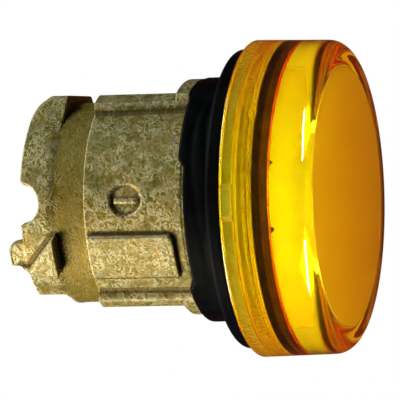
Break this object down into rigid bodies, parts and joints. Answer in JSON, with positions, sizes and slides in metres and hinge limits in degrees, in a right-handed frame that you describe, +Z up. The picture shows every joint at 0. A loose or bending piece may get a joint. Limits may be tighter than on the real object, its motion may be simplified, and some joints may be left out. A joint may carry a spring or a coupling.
{
  "type": "panel indicator light head",
  "caption": "Round amber indicator light head on a yellow-plated die-cast barrel, for a 22 mm hole in a control panel.",
  "frame": {"origin": "on the head's axis, in the plane of the panel's front face, which is the rear face of the gasket's flange", "axes": "+X along the axis, out of the panel towards the operator; +Z up, the side of the barrel's key lug"},
  "size_m": [0.0308, 0.029, 0.029],
  "materials": {
    "plated_zinc": "die-cast zinc with a mottled yellow passivated plating",
    "gasket_rubber": "black moulded rubber, satin",
    "sleeve_plastic": "black moulded plastic",
    "seal_rubber": "black rubber",
    "spring_steel": "spring steel",
    "white_plastic": "white moulded plastic",
    "diffuser_plastic": "translucent moulded plastic",
    "amber_lens": "clear amber moulded polycarbonate, polished"
  },
  "bodies": {
    "head": {"barrel": "plated_zinc", "panel_gasket": "gasket_rubber", "inner_sleeve": "sleeve_plastic", "sleeve_o_ring": "seal_rubber", "retaining_clip": "spring_steel", "light_tube": "white_plastic"},
    "seal": {"lens_seal": "seal_rubber"},
    "lens": {"lens": "amber_lens", "diffuser": "diffuser_plastic"}
  },
  "joints": [
    {"name": "lens_advance", "type": "slide", "parent": "head", "child": "seal", "axis": [1, 0, 0], "range_m": [0, 0.00076]},
    {"name": "lens_turn", "type": "hinge", "parent": "seal", "child": "lens", "pos_m": [0, 0, 0], "axis": [1, 0, 0], "range_deg": [0, 360]}
  ],
  "couplings": [
    {"joint": "lens_advance", "follows": "lens_turn", "m_per_rad": 0.00011937}
  ]
}
